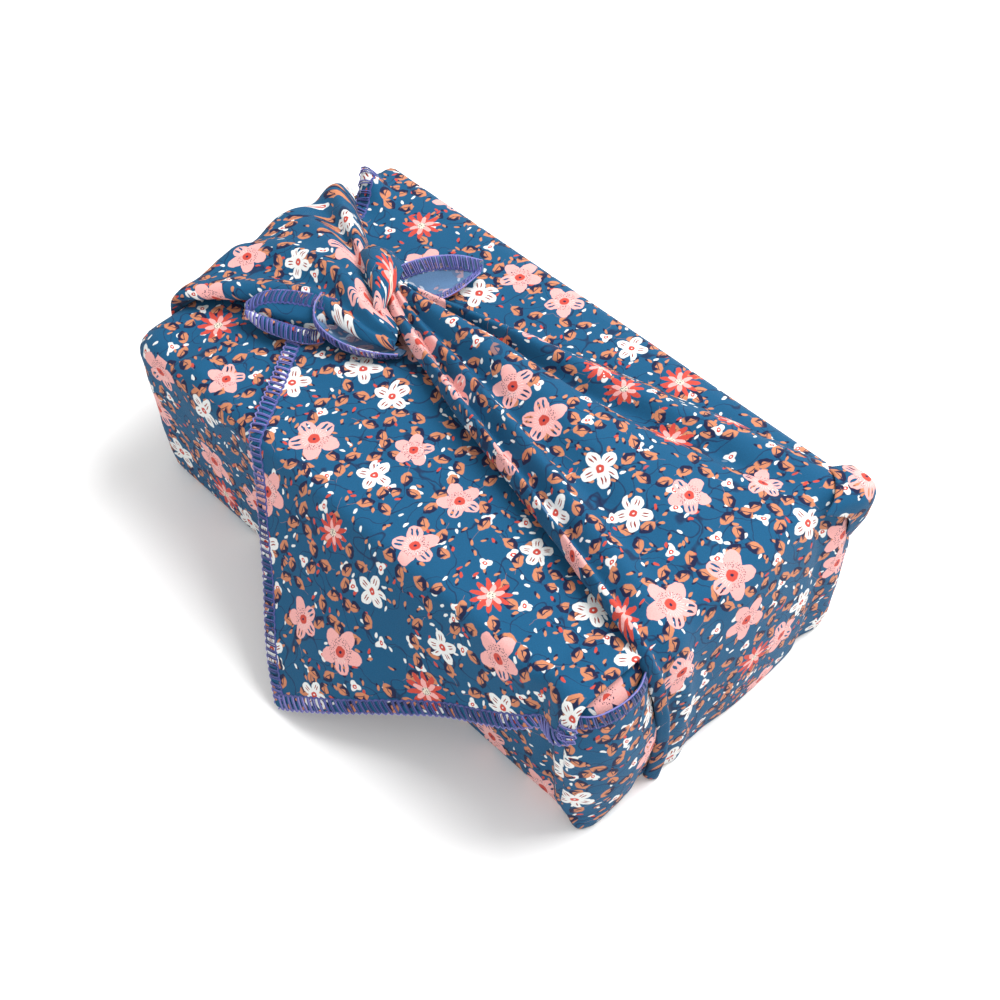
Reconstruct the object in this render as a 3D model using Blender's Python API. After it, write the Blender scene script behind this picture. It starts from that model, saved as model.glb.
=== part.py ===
# A square furoshiki cloth tied round a closed box that lies flat.
# X runs along the box towards the pleated end, Y towards the back, Z up; the origin is the
# centre of the flat underside. Every outline below is the middle surface of the cloth.

import math
from collections import namedtuple

import bmesh
import bpy
from mathutils import Vector

MM = 0.001

# Driving sizes, in millimetres
BOX_LENGTH = 226.0
BOX_WIDTH = 124.0
BOX_HEIGHT = 66.5
BOX_EDGE = 3.0
CLOTH = 2.0  # one layer, with its nap and small wrinkles
EASE = 1.0  # air between one layer and the next
FLAP_DROP = 75.0  # the hanging flap reaches from the top of the bundle to its base
FLAP_REACH = 41.5  # how far the flap's point stands out from the front edge

# Sizes that follow from them: middle surface of the walls, and the heights of the layers
HALF_LENGTH = BOX_LENGTH / 2 + EASE + CLOTH / 2
HALF_WIDTH = BOX_WIDTH / 2 + EASE + CLOTH / 2
FLOOR_LAYER = CLOTH / 2
BOX_BASE = CLOTH + EASE
RIM_LAYER = BOX_BASE + BOX_HEIGHT + EASE + CLOTH / 2
FLAP_LAYER = RIM_LAYER + CLOTH + EASE
TOP_FACE = FLAP_LAYER + CLOTH / 2

CORNER = 8.0  # plan radius of the cloth round the upright corners
RIM_WIDTH = 9.0  # how far the walls turn in over the top
ARC_STEPS = 4
SIDE_STEPS = 13
END_STEPS = 8

# One level of the wrapped walls: how far it is drawn in, its height, how strongly folds show
Level = namedtuple("Level", "inset height folds")
LEVELS = (
    Level(9.0, FLOOR_LAYER, 0.0),
    Level(5.0, FLOOR_LAYER, 0.0),
    Level(1.6, FLOOR_LAYER + 0.7, 0.0),
    Level(0.2, 5.0, 0.4),
    Level(0.0, 20.0, 1.0),
    Level(0.0, 36.0, 1.0),
    Level(0.0, 52.0, 1.0),
    Level(0.0, RIM_LAYER - 5.0, 0.6),
    Level(1.6, RIM_LAYER - 1.4, 0.2),
    Level(4.5, RIM_LAYER, 0.0),
    Level(RIM_WIDTH, RIM_LAYER, 0.0),
)

# Soft upright folds that stand out from the walls: where, how wide, how far they stand out
WallFold = namedtuple("WallFold", "x y spread stand")
WALL_FOLDS = (
    WallFold(97, -64, 9, 3.5),  # the tucked ear beside the front corner
    WallFold(115, -38, 12, 3.0),
    WallFold(115, 6, 14, 1.5),
    WallFold(115, 55, 8, 4.0),  # the dog-ear at the back corner
    WallFold(-115, -20, 16, 1.5),
    WallFold(-115, 50, 9, 3.0),
    WallFold(-90, -64, 18, 1.2),
    WallFold(20, 64, 30, 1.0),
)

# The under flap, turned over the top from the front side. It stops short of the back rim, so
# the space round the box opens between the two flaps.
Span = namedtuple("Span", "y z left right")
UNDER_FLAP = (
    Span(-61, RIM_LAYER - 0.3, -108, 108),
    Span(-50, RIM_LAYER + 0.2, -109, 109),
    Span(-15, RIM_LAYER + 0.2, -109, 109),
    Span(20, RIM_LAYER + 0.2, -109, 109),
    Span(38, RIM_LAYER + 0.2, -109, 109),
    Span(49, RIM_LAYER + 0.2, -100, 100),
)

# The over flap on the top of the bundle, from the back edge to the front one
OVER_FLAP_TOP = (
    Span(60, RIM_LAYER + 0.5, -104, 104),
    Span(53, FLAP_LAYER - 0.8, -106, 106),
    Span(44, FLAP_LAYER, -107, 108),
    Span(25, FLAP_LAYER, -93, 108),
    Span(5, FLAP_LAYER, -78, 108),
    Span(-15, FLAP_LAYER, -69, 108),
    Span(-35, FLAP_LAYER, -60, 108),
    Span(-52, FLAP_LAYER, -51, 108),
    Span(-62, FLAP_LAYER - 0.2, -43, 107),
)

# The same flap where it hangs: how far down its slope, and where its two hemmed edges are
Hang = namedtuple("Hang", "down left right")
OVER_FLAP_HANGING = (
    Hang(4, -40, 104),
    Hang(10, -37, 98.5),
    Hang(20, -33, 89),
    Hang(30, -28, 79),
    Hang(40, -24, 67),
    Hang(50, -19, 53),
    Hang(60, -13, 38),
    Hang(70, -6.5, 24),
    Hang(79, 0, 12),
    Hang(84, 4, 6.5),
)

# A gathered strand, from the end wall to the knot: both sides of each row, and the heights of
# its valleys and of its pleats
Gather = namedtuple("Gather", "near_x near_y far_x far_y low high")
FAN = (
    Gather(115.2, -45, 115.2, 55, 60, 60),
    Gather(116.8, -46, 116.6, 57, 67, 67),
    Gather(116.6, -46, 116.4, 57, 73.0, 74.0),
    Gather(112.0, -44.5, 112.0, 56, 77.2, 79),
    Gather(97, -38.5, 97, 52, 77.3, 81.5),
    Gather(80, -33, 80, 47, 77.3, 82.5),
    Gather(61, -27, 61, 41, 77.3, 83.5),
    Gather(40, -21.5, 40, 36, 77.5, 84.5),
    Gather(19, -17, 19, 30, 78, 85.5),
    Gather(-2, -12, -2, 24, 78.5, 86.5),
    Gather(-22, -7.5, -20, 18, 79.5, 87),
    Gather(-38, -4.5, -36, 15, 82.0, 86.0),
    Gather(-50, -2, -48, 11, 85, 87.0),
)
STRAND = (
    Gather(-115.2, -45, -115.2, 35, 60, 60),
    Gather(-116.8, -46, -116.6, 37, 67, 67),
    Gather(-116.5, -46.5, -116.4, 37, 73.0, 75.0),
    Gather(-110, -45, -110, 34, 77.5, 80),
    Gather(-98, -37.5, -98, 28, 78, 83.5),
    Gather(-86, -26.5, -86, 22, 79, 86),
    Gather(-74, -16, -75, 15, 81, 88.5),
    Gather(-64, -10, -65, 11, 83, 89),
    Gather(-54, -5, -55, 8, 85, 88),
)

# Pleats across a strand: place between its near and far side, half width, share of full height
Pleat = namedtuple("Pleat", "place spread height")
FAN_PLEATS = (
    Pleat(0.03, 0.075, 1.0),
    Pleat(0.36, 0.11, 0.8),
    Pleat(0.62, 0.10, 0.85),
    Pleat(0.90, 0.08, 0.7),
)
STRAND_PLEATS = (
    Pleat(0.06, 0.09, 0.8),
    Pleat(0.37, 0.12, 1.0),
    Pleat(0.66, 0.10, 0.9),
    Pleat(0.92, 0.08, 0.7),
)

# The knot: a core where the strands meet, and one turn of cloth over it
KNOT = Vector((-52.0, 3.5, 87.0))
KNOT_CORE = (13.0, 11.0, 9.0)
LOOP_RADIUS = 10.5
LOOP_WIDTH = 16.0
LOOP_HEIGHT = 5.0

# A free tail is a short trough of cloth: its middle line, its width, and the rise of its sides
Trough = namedtuple("Trough", "x y z width rise")
BACK_TAIL = (
    Trough(-53, 6, 88.5, 8, 1),
    Trough(-48, 15, 86.5, 15, 4),
    Trough(-43, 24, 84.5, 18, 5),
    Trough(-38, 33, 83, 12, 4),
    Trough(-35, 39, 82.5, 3, 0.5),
)
FRONT_TAIL = (
    Trough(-54, 1, 88.0, 8, 1),
    Trough(-59, -9, 90.0, 11, 2),
    Trough(-67, -17, 88.5, 13, 3),
    Trough(-77, -25, 84.0, 10, 3),
    Trough(-87, -33, 79.5, 3, 0.5),
)


def clear_scene():
    for thing in list(bpy.data.objects):
        bpy.data.objects.remove(thing, do_unlink=True)


def material(name, colour, roughness):
    made = bpy.data.materials.new(name)
    made.use_nodes = True
    shader = made.node_tree.nodes["Principled BSDF"]
    shader.inputs["Base Color"].default_value = (*colour, 1)
    shader.inputs["Roughness"].default_value = roughness
    shader.inputs["Metallic"].default_value = 0
    return made


def grid_object(name, rows, thickness, wrap_around=False, cap_first=False):
    """Makes an object from rows of middle-surface points and gives it the cloth's thickness."""
    mesh = bmesh.new()
    made = [[mesh.verts.new(Vector(point) * MM) for point in row] for row in rows]
    across = len(rows[0])
    for lower, upper in zip(made, made[1:]):
        for i in range(across if wrap_around else across - 1):
            j = (i + 1) % across
            mesh.faces.new((lower[i], lower[j], upper[j], upper[i]))
    if cap_first:
        mesh.faces.new(made[0])
    bmesh.ops.recalc_face_normals(mesh, faces=mesh.faces)
    data = bpy.data.meshes.new(name)
    mesh.to_mesh(data)
    mesh.free()
    data.shade_smooth()
    thing = bpy.data.objects.new(name, data)
    bpy.context.collection.objects.link(thing)
    solid = thing.modifiers.new("cloth", "SOLIDIFY")
    solid.thickness = thickness * MM
    solid.offset = 0
    solid.use_even_offset = False
    return thing


def rounded_rectangle(half_length, half_width, radius):
    """Points round a rounded rectangle, anticlockwise, the same number whatever its size."""
    corners = ((1, -1, -90), (1, 1, 0), (-1, 1, 90), (-1, -1, 180))
    points = []
    for number, (side_x, side_y, start) in enumerate(corners):
        centre_x = side_x * (half_length - radius)
        centre_y = side_y * (half_width - radius)
        for step in range(ARC_STEPS + 1):
            angle = math.radians(start + 90 * step / ARC_STEPS)
            points.append((centre_x + radius * math.cos(angle), centre_y + radius * math.sin(angle)))
        next_x, next_y, _ = corners[(number + 1) % 4]
        steps = END_STEPS if next_x == side_x else SIDE_STEPS
        first = points[-1]
        if next_x == side_x:
            last = (first[0], next_y * (half_width - radius))
        else:
            last = (next_x * (half_length - radius), first[1])
        for step in range(1, steps):
            share = step / steps
            points.append(tuple(a + (b - a) * share for a, b in zip(first, last)))
    return points


def stands_out(x, y):
    """How far the upright folds push the wall out at this place in plan."""
    return sum(
        fold.stand * math.exp(-((x - fold.x) ** 2 + (y - fold.y) ** 2) / fold.spread**2)
        for fold in WALL_FOLDS
    )


def wall_rows():
    rows = []
    for level in LEVELS:
        outline = rounded_rectangle(
            HALF_LENGTH - level.inset, HALF_WIDTH - level.inset, max(CORNER - level.inset, 1.5)
        )
        row = []
        for x, y in outline:
            push = level.folds * stands_out(x, y)
            outward = Vector((x / HALF_LENGTH, y / HALF_WIDTH))
            outward = Vector([side * abs(side) ** 7 for side in outward]).normalized()
            row.append((x + push * outward.x, y + push * outward.y, level.height))
        rows.append(row)
    return rows


def span_rows(spans, columns):
    shares = [column / columns for column in range(columns + 1)]
    rows = []
    for span in spans:
        width = span.right - span.left
        rows.append([(span.left + width * share, span.y, span.z) for share in shares])
    return rows


def over_flap_rows(columns):
    slope = math.hypot(FLAP_DROP, FLAP_REACH)
    hanging = []
    for hang in OVER_FLAP_HANGING:
        share = hang.down / slope
        y = -HALF_WIDTH - 1.5 - FLAP_REACH * share
        z = FLAP_LAYER - 1.2 - (FLAP_DROP - 3.4) * share
        hanging.append(Span(y, z, hang.left, hang.right))
    return span_rows(OVER_FLAP_TOP + tuple(hanging), columns)


def pleat_height(pleats, place):
    return max(
        pleat.height * math.exp(-(((place - pleat.place) / pleat.spread) ** 2)) for pleat in pleats
    )


def gathered_rows(gathers, pleats, columns):
    rows = []
    for gather in gathers:
        row = []
        for column in range(columns + 1):
            place = column / columns
            x = gather.near_x + (gather.far_x - gather.near_x) * place
            y = gather.near_y + (gather.far_y - gather.near_y) * place
            lift = (gather.high - gather.low) * pleat_height(pleats, place)
            row.append((x, y, gather.low + lift))
        rows.append(row)
    return rows


def trough_rows(troughs, columns):
    rows = []
    for number, trough in enumerate(troughs):
        before = troughs[max(number - 1, 0)]
        after = troughs[min(number + 1, len(troughs) - 1)]
        along = Vector((after.x - before.x, after.y - before.y)).normalized()
        row = []
        for column in range(columns + 1):
            share = 2 * column / columns - 1
            offset = share * trough.width / 2
            row.append(
                (
                    trough.x - along.y * offset,
                    trough.y + along.x * offset,
                    trough.z + trough.rise * share**2,
                )
            )
        rows.append(row)
    return rows


def loop_rows(columns, turns):
    """The turn of cloth that goes over the knot, as an open arch round the strands."""
    rows = []
    for turn in range(turns + 1):
        angle = math.radians(-20 + 220 * turn / turns)
        row = []
        for column in range(columns + 1):
            share = 2 * column / columns - 1
            bulge = LOOP_RADIUS + 1.5 * (1 - share**2)
            across = share * LOOP_WIDTH / 2
            lean = math.radians(25)
            flat = bulge * math.cos(angle)
            row.append(
                (
                    KNOT.x + across * math.cos(lean) - flat * math.sin(lean),
                    KNOT.y + across * math.sin(lean) + flat * math.cos(lean),
                    KNOT.z + LOOP_HEIGHT * 0.3 + bulge * 0.85 * math.sin(angle),
                )
            )
        rows.append(row)
    return rows


def knot_core():
    mesh = bmesh.new()
    bmesh.ops.create_uvsphere(mesh, u_segments=14, v_segments=8, radius=1)
    for vert in mesh.verts:
        size = Vector(KNOT_CORE) * MM
        vert.co = Vector([a * b for a, b in zip(vert.co, size)]) + KNOT * MM
    data = bpy.data.meshes.new("knot_core")
    mesh.to_mesh(data)
    mesh.free()
    thing = bpy.data.objects.new("knot_core", data)
    bpy.context.collection.objects.link(thing)
    return thing


def build_wrap():
    """The cloth in one piece: the walls, with every layer and strand united to them."""
    wrap = grid_object("wrap", wall_rows(), CLOTH, wrap_around=True, cap_first=True)
    layers = [
        grid_object("under_flap", span_rows(UNDER_FLAP, 8), CLOTH),
        grid_object("over_flap", over_flap_rows(14), CLOTH),
        grid_object("fan", gathered_rows(FAN, FAN_PLEATS, 26), CLOTH),
        grid_object("strand", gathered_rows(STRAND, STRAND_PLEATS, 22), CLOTH),
        knot_core(),
        grid_object("loop", loop_rows(6, 12), CLOTH),
        grid_object("back_tail", trough_rows(BACK_TAIL, 6), CLOTH),
        grid_object("front_tail", trough_rows(FRONT_TAIL, 6), CLOTH),
    ]
    for layer in layers:
        layer.hide_render = True
        layer.hide_set(True)
        layer.display_type = "WIRE"
        union = wrap.modifiers.new("join " + layer.name, "BOOLEAN")
        union.operation = "UNION"
        union.solver = "MANIFOLD"  # the exact solver loses the body where the pleats meet the knot
        union.object = layer
    return wrap


def build_box():
    mesh = bmesh.new()
    bmesh.ops.create_cube(mesh, size=1)
    for vert in mesh.verts:
        vert.co.x *= BOX_LENGTH * MM
        vert.co.y *= BOX_WIDTH * MM
        vert.co.z = (vert.co.z + 0.5) * BOX_HEIGHT * MM
    bmesh.ops.bevel(mesh, geom=mesh.edges[:], offset=BOX_EDGE * MM, segments=2, affect="EDGES")
    data = bpy.data.meshes.new("box")
    mesh.to_mesh(data)
    mesh.free()
    thing = bpy.data.objects.new("box", data)
    thing.location.z = BOX_BASE * MM
    bpy.context.collection.objects.link(thing)
    return thing


def main():
    clear_scene()
    wrap = build_wrap()
    wrap.data.materials.append(material("printed cotton", (0.03, 0.14, 0.24), 0.85))
    box = build_box()
    box.data.materials.append(material("carton", (0.55, 0.42, 0.28), 0.75))


main()
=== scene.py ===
import math
import bpy
import mathutils
import numpy as np
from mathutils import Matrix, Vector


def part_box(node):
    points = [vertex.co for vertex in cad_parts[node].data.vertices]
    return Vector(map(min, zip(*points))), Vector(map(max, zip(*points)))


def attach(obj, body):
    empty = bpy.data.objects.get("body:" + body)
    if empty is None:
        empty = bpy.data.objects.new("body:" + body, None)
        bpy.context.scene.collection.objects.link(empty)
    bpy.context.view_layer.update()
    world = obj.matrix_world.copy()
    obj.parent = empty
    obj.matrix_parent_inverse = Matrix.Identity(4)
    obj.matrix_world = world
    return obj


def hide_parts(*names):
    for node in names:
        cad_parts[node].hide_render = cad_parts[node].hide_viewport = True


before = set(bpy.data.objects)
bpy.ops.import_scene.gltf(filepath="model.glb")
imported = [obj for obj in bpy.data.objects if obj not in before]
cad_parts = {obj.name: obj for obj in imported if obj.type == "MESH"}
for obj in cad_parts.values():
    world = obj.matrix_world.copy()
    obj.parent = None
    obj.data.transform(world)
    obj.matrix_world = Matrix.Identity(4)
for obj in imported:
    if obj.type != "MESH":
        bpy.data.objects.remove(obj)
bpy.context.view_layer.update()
mm = 0.001
uvScale = 0.01                        # one UV unit is 100 mm of cloth

boxLow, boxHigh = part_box("box")
boxTop = boxHigh[2] / mm              # upper face of the carton
clothGap = 3.2                        # from the carton to the outside of the cloth
endX = boxHigh[0] / mm + clothGap     # outside of the cloth on the short ends
sideY = boxHigh[1] / mm + clothGap    # and on the long sides
flapZ = boxTop + 6.0                  # the over flap as it lies on the top
clothThickness = 0.7


# Smooth rows through every row of values, count of them, evenly by row number.
def catmull(values, count):
    values = np.asarray(values, float)
    n = len(values)
    t = np.linspace(0, n - 1, count)
    i = np.clip(t.astype(int), 0, n - 2)
    f = (t - i).reshape((-1,) + (1,) * (values.ndim - 1))
    a, b = values[i], values[i + 1]
    before = values[np.maximum(i - 1, 0)]
    after = values[np.minimum(i + 2, n - 1)]
    before = np.where((i == 0).reshape(f.shape), 2 * a - b, before)
    after = np.where((i == n - 2).reshape(f.shape), 2 * b - a, after)
    return 0.5 * (2 * a + (b - before) * f + (2 * before - 5 * a + 4 * b - after) * f ** 2
                  + (3 * a - before - 3 * b + after) * f ** 3)


# A surface through fold lines: lines run side by side, each with the same number of points.
def loft(lines, along, across):
    net = np.array(lines, float)
    net = catmull(net, across)
    net = catmull(net.swapaxes(0, 1), along)
    return net


# Smooth wandering values from -1 to 1, with bumps about size apart.
def softNoise(points, size, seed):
    draw = np.random.default_rng(seed)
    total = np.zeros(points.shape[:-1])
    for _ in range(9):
        way = draw.normal(size=3)
        way *= draw.uniform(0.6, 1.5) * 2 * math.pi / size / np.linalg.norm(way)
        total += np.sin(points @ way + draw.uniform(0, 2 * math.pi))
    return total / 4.5


def gridNormals(points):
    du = np.gradient(points, axis=1)
    dv = np.gradient(points, axis=0)
    normal = np.cross(du, dv)
    return normal / np.maximum(np.linalg.norm(normal, axis=-1, keepdims=True), 1e-9)


# Cloth coordinates that keep lengths: across from the anchor column, along by what is left.
def flatten(points, anchor):
    step = np.linalg.norm(np.diff(points, axis=1), axis=-1)
    u = np.concatenate([np.zeros((len(points), 1)), np.cumsum(step, axis=1)], axis=1)
    u -= u[:, anchor:anchor + 1]
    run = np.linalg.norm(np.diff(points, axis=0), axis=-1)
    slide = np.diff(u, axis=0)
    run = np.sqrt(np.maximum(run ** 2 - slide ** 2, (0.25 * run) ** 2))
    v = np.concatenate([np.zeros((1, points.shape[1])), np.cumsum(run, axis=0)], axis=0)
    return np.stack([u, v], axis=-1)


def bump(value, centre, width):
    return np.exp(-((value - centre) / width) ** 2)


def ramp(value, low, high):
    t = np.clip((value - low) / (high - low), 0, 1)
    return t * t * (3 - 2 * t)


# one mesh that gathers every fold of the cloth
cloth = {"verts": [], "faces": [], "uvs": [], "count": 0}


def addGrid(points, uv, flip=False):
    rows, cols = points.shape[:2]
    base = cloth["count"]
    cloth["verts"].append(points.reshape(-1, 3))
    index = base + np.arange(rows * cols).reshape(rows, cols)
    a, b = index[:-1, :-1], index[:-1, 1:]
    c, d = index[1:, 1:], index[1:, :-1]
    quads = np.stack([a, b, c, d], axis=-1).reshape(-1, 4)
    if flip:
        quads = quads[:, ::-1]
    cloth["faces"].append(quads)
    cloth["uvs"].append(uv.reshape(-1, 2)[quads - base])
    cloth["count"] += rows * cols


walls = {
    "topGap": 3.0,
    "floorGap": 0.45,
    "cornerRadius": 9.0,
    "topRadius": 7.0,
    "baseRadius": 4.0,
    "around": 280,
    "offset": (83.0, 41.0),
    # soft upright folds: place in plan, spread, how far they stand out
    "folds": [
        {"x": -116, "y": -64, "spread": 9, "stand": 1.5},
        {"x": 100, "y": -65, "spread": 3.5, "stand": -2.0},
        {"x": 108, "y": -66, "spread": 5, "stand": 3.4},
        {"x": 116, "y": -50, "spread": 7, "stand": 3.2},
        {"x": 116, "y": -40, "spread": 3, "stand": -1.5},
        {"x": -116, "y": 50, "spread": 9, "stand": 3.0},
        {"x": 60, "y": 65, "spread": 24, "stand": 1.2},
        {"x": -40, "y": 65, "spread": 20, "stand": 1.4},
        {"x": 10, "y": -65, "spread": 30, "stand": 0.6},
    ],
}


# Points and outward directions round a rounded rectangle, evenly spaced, from the middle of +X.
def roundedLoop(halfX, halfY, radius, count):
    straightX, straightY = 2 * (halfX - radius), 2 * (halfY - radius)
    arc = radius * math.pi / 2
    total = 2 * straightX + 2 * straightY + 4 * arc
    s = (np.arange(count) / count * total + 0.0)
    pieces = [straightY / 2, arc, straightX, arc, straightY, arc, straightX, arc, straightY / 2]
    starts = np.concatenate([[0], np.cumsum(pieces)])
    x, y = np.zeros(count), np.zeros(count)
    nx, ny = np.zeros(count), np.zeros(count)
    cx, cy = halfX - radius, halfY - radius
    centres = {1: (cx, cy, 0), 3: (-cx, cy, 90), 5: (-cx, -cy, 180), 7: (cx, -cy, 270)}
    for k in range(9):
        inside = (s >= starts[k]) & (s < starts[k + 1] + (1e-6 if k == 8 else 0))
        t = s[inside] - starts[k]
        if k in centres:
            ox, oy, start = centres[k]
            angle = np.radians(start) + t / radius
            x[inside], y[inside] = ox + radius * np.cos(angle), oy + radius * np.sin(angle)
            nx[inside], ny[inside] = np.cos(angle), np.sin(angle)
        elif k in (0, 8):
            x[inside], nx[inside] = halfX, 1
            y[inside] = t if k == 0 else t - straightY / 2
        elif k == 2:
            x[inside], y[inside], ny[inside] = cx - t, halfY, 1
        elif k == 4:
            x[inside], y[inside], nx[inside] = -halfX, cy - t, -1
        elif k == 6:
            x[inside], y[inside], ny[inside] = -cx + t, -halfY, -1
    return x, y, nx, ny


def buildWalls():
    top, floorGap = boxTop + walls["topGap"], walls["floorGap"]
    rTop, rBase = walls["topRadius"], walls["baseRadius"]
    profile = [(inset, floorGap) for inset in (62, 50, 35, 20)]
    profile += [(rBase * (1 - math.sin(a)), floorGap + rBase * (1 - math.cos(a)))
                for a in np.radians(np.linspace(0, 90, 5))]
    profile += [(0.0, z) for z in np.linspace(rBase + 3, top - rTop - 1, 16)]
    profile += [(rTop * (1 - math.cos(a)), top - rTop + rTop * math.sin(a))
                for a in np.radians(np.linspace(0, 90, 7))]
    profile += [(inset, top) for inset in (10, 14, 20, 28, 38, 50, 60)]
    rows = []
    for inset, z in profile:
        radius = max(walls["cornerRadius"] - inset * 0.5, 1.2) if sideY - inset > 3 else 0.6
        x, y, nx, ny = roundedLoop(endX - inset, max(sideY - inset, 1.5), radius, walls["around"])
        height = ramp(z, 1, 14) * (1 - ramp(z, top - 9, top - 1))
        push = np.zeros_like(x)
        for fold in walls["folds"]:
            push += fold["stand"] * bump(np.hypot(x - fold["x"], y - fold["y"]), 0, fold["spread"])
        point = np.stack([x, y, np.full_like(x, z)], axis=-1)
        push = height * (push + 0.5 * softNoise(point, 34, 5) + 0.25 * softNoise(point, 15, 6))
        point[:, 0] += nx * push
        point[:, 1] += ny * push
        rows.append(point)
    points = np.array(rows)
    topMask = ramp(points[..., 2], top - 1.5, top)
    # a soft diagonal ridge and the hollow behind it, beside the left strand
    px, py = points[..., 0], points[..., 1]
    away = (px + 86) + 0.03 * (py + 45)
    near = ramp(-py, 18, 34)
    points[..., 2] += topMask * near * (1.7 * bump(away, 0, 6) - 1.2 * bump(away, -9, 6))
    points[..., 2] += topMask * 0.35 * softNoise(points, 26, 7)
    # cloth coordinates face by face, unfolded over the edges
    index = np.arange(points.shape[0] * points.shape[1]).reshape(points.shape[:2])
    a, b = index[:-1], np.roll(index, -1, axis=1)[:-1]
    c, d = np.roll(index, -1, axis=1)[1:], index[1:]
    quads = np.stack([a, b, c, d], axis=-1).reshape(-1, 4)
    flat = points.reshape(-1, 3)
    corners = flat[quads]
    middle = corners.mean(axis=1)
    down = top - corners[..., 2]
    x, y = corners[..., 0], corners[..., 1]
    onEnd = (np.abs(middle[:, 0]) - endX) > (np.abs(middle[:, 1]) - sideY)
    signX, signY = np.sign(middle[:, 0])[:, None], np.sign(middle[:, 1])[:, None]
    flatTop = (middle[:, 2] > top - 2.5)[:, None]
    u = np.where(onEnd[:, None] & ~flatTop, signX * (endX + down), x)
    v = np.where(onEnd[:, None] | flatTop, y, signY * (sideY + down))
    base = cloth["count"]
    cloth["verts"].append(flat)
    cloth["faces"].append(quads + base)
    cloth["uvs"].append(np.stack([u + walls["offset"][0], v + walls["offset"][1]], axis=-1))
    cloth["count"] += len(flat)


flap = {
    "tip": 215.0,          # length of cloth from the back edge to the point
    "tipX": 5.0,
    "leftSlope": 0.60,     # how fast the two hemmed edges part from the point
    "rightSlope": 1.52,
    "bend": 5.0,
    "slope": 60.0,         # how steeply it hangs, and how much steeper towards its two ends
    "steeperRight": 22.0,
    "steeperLeft": 6.0,
    "backRoll": 8.0,       # the stretch at the back that turns down into the wall
    "curls": [{"at": 19, "rise": 9.0}, {"at": 39, "rise": 8.5}],    # of the hem beside the left strand
    "curlWidth": 4.5,
    "curlReach": 9.0,
    "hemStart": {"left": 14.0, "right": 136.0},
    "cols": 84,
    "offset": (311.0, 37.0),
}


def flapLeft(b):
    return np.maximum(flap["tipX"] - flap["leftSlope"] * (flap["tip"] - b),
    -113.0) + 1.2 * np.sin(b / 17)


def flapRight(b):
    return np.minimum(flap["tipX"] + flap["rightSlope"] * (flap["tip"] - b), 114.0)


# Where the point (x, b) of the flat flap lies; b counts from the back edge of the top.
def flapPlace(x, b):
    top = flapZ
    edge = 2 * sideY
    slope = np.radians(flap["slope"] + flap["steeperRight"] * ramp(x, 20, 105)
                       + flap["steeperLeft"] * ramp(-x, 10, 50))
    r = flap["bend"]
    begin = edge - r * np.tan(slope / 2)
    arc = r * slope
    past = b - begin
    turn = np.clip(past / r, 0, slope)
    rest = np.maximum(past - arc, 0)
    y = sideY - np.minimum(b, begin) - r * np.sin(turn) - rest * np.cos(slope)
    z = top - r * (1 - np.cos(turn)) - rest * np.sin(slope)
    # at the back it turns down over the edge and goes into the wall
    back = flap["backRoll"]
    roll = np.clip(1 - b / back, 0, 1) * math.pi / 2
    y = np.where(b < back, sideY - back + 7.4 * np.sin(roll), y)
    hang = ramp(past, 0, 20)
    z = z - 8.6 * (1 - np.cos(roll))
    # hem ruffles beside the left strand
    fromLeft = x - flapLeft(b)
    for curl in flap["curls"]:
        z += curl["rise"] * bump(b, curl["at"], flap["curlWidth"]) * bump(fromLeft, 2, flap["curlReach"])
    # a soft ridge where the flap leaves the knot
    along = ((x + 62) * 0.9 + (b - 97) * -0.43)
    off = ((x + 62) * 0.43 + (b - 97) * 0.9)
    z += 1.6 * bump(off, 0, 7) * ramp(along, -4, 10) * (1 - ramp(along, 40, 75)) * (1 - hang)
    # the ear under the right corner lifts the hem
    y -= 3.0 * bump(x, 109, 5) * hang
    y += 2.2 * bump(x, 98, 4) * ramp(past, -14, 6)
    z -= 1.2 * bump(x, 97, 4) * ramp(past, -26, -4) * (1 - hang)
    point = np.stack(np.broadcast_arrays(x, y, z), axis=-1).astype(float)
    sway = softNoise(point, 60, 11) * 1.6 * hang * ramp(past, 8, 50)
    point[..., 1] += sway
    point[..., 2] += (0.45 * softNoise(point, 38, 12) + 0.2 * softNoise(point, 14, 13)) * ramp(b, 4, 14)
    point[..., 2] = np.maximum(point[..., 2], 0.6)
    return point


def buildFlap():
    b = np.concatenate([np.linspace(0, 118, 62)[:-1], np.linspace(118, 142, 26)[:-1],
                        np.linspace(142, flap["tip"] - 0.6, 48)])
    left, right = flapLeft(b), flapRight(b)
    share = np.linspace(0, 1, flap["cols"])
    share = share + 0.035 * np.sin(2 * math.pi * share) * -1
    x = left[:, None] + (right - left)[:, None] * share[None, :]
    bb = np.repeat(b[:, None], flap["cols"], axis=1)
    points = flapPlace(x, bb)
    uv = np.stack([x + flap["offset"][0], flap["offset"][1] - bb], axis=-1)
    addGrid(points, uv, flip=True)


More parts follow.
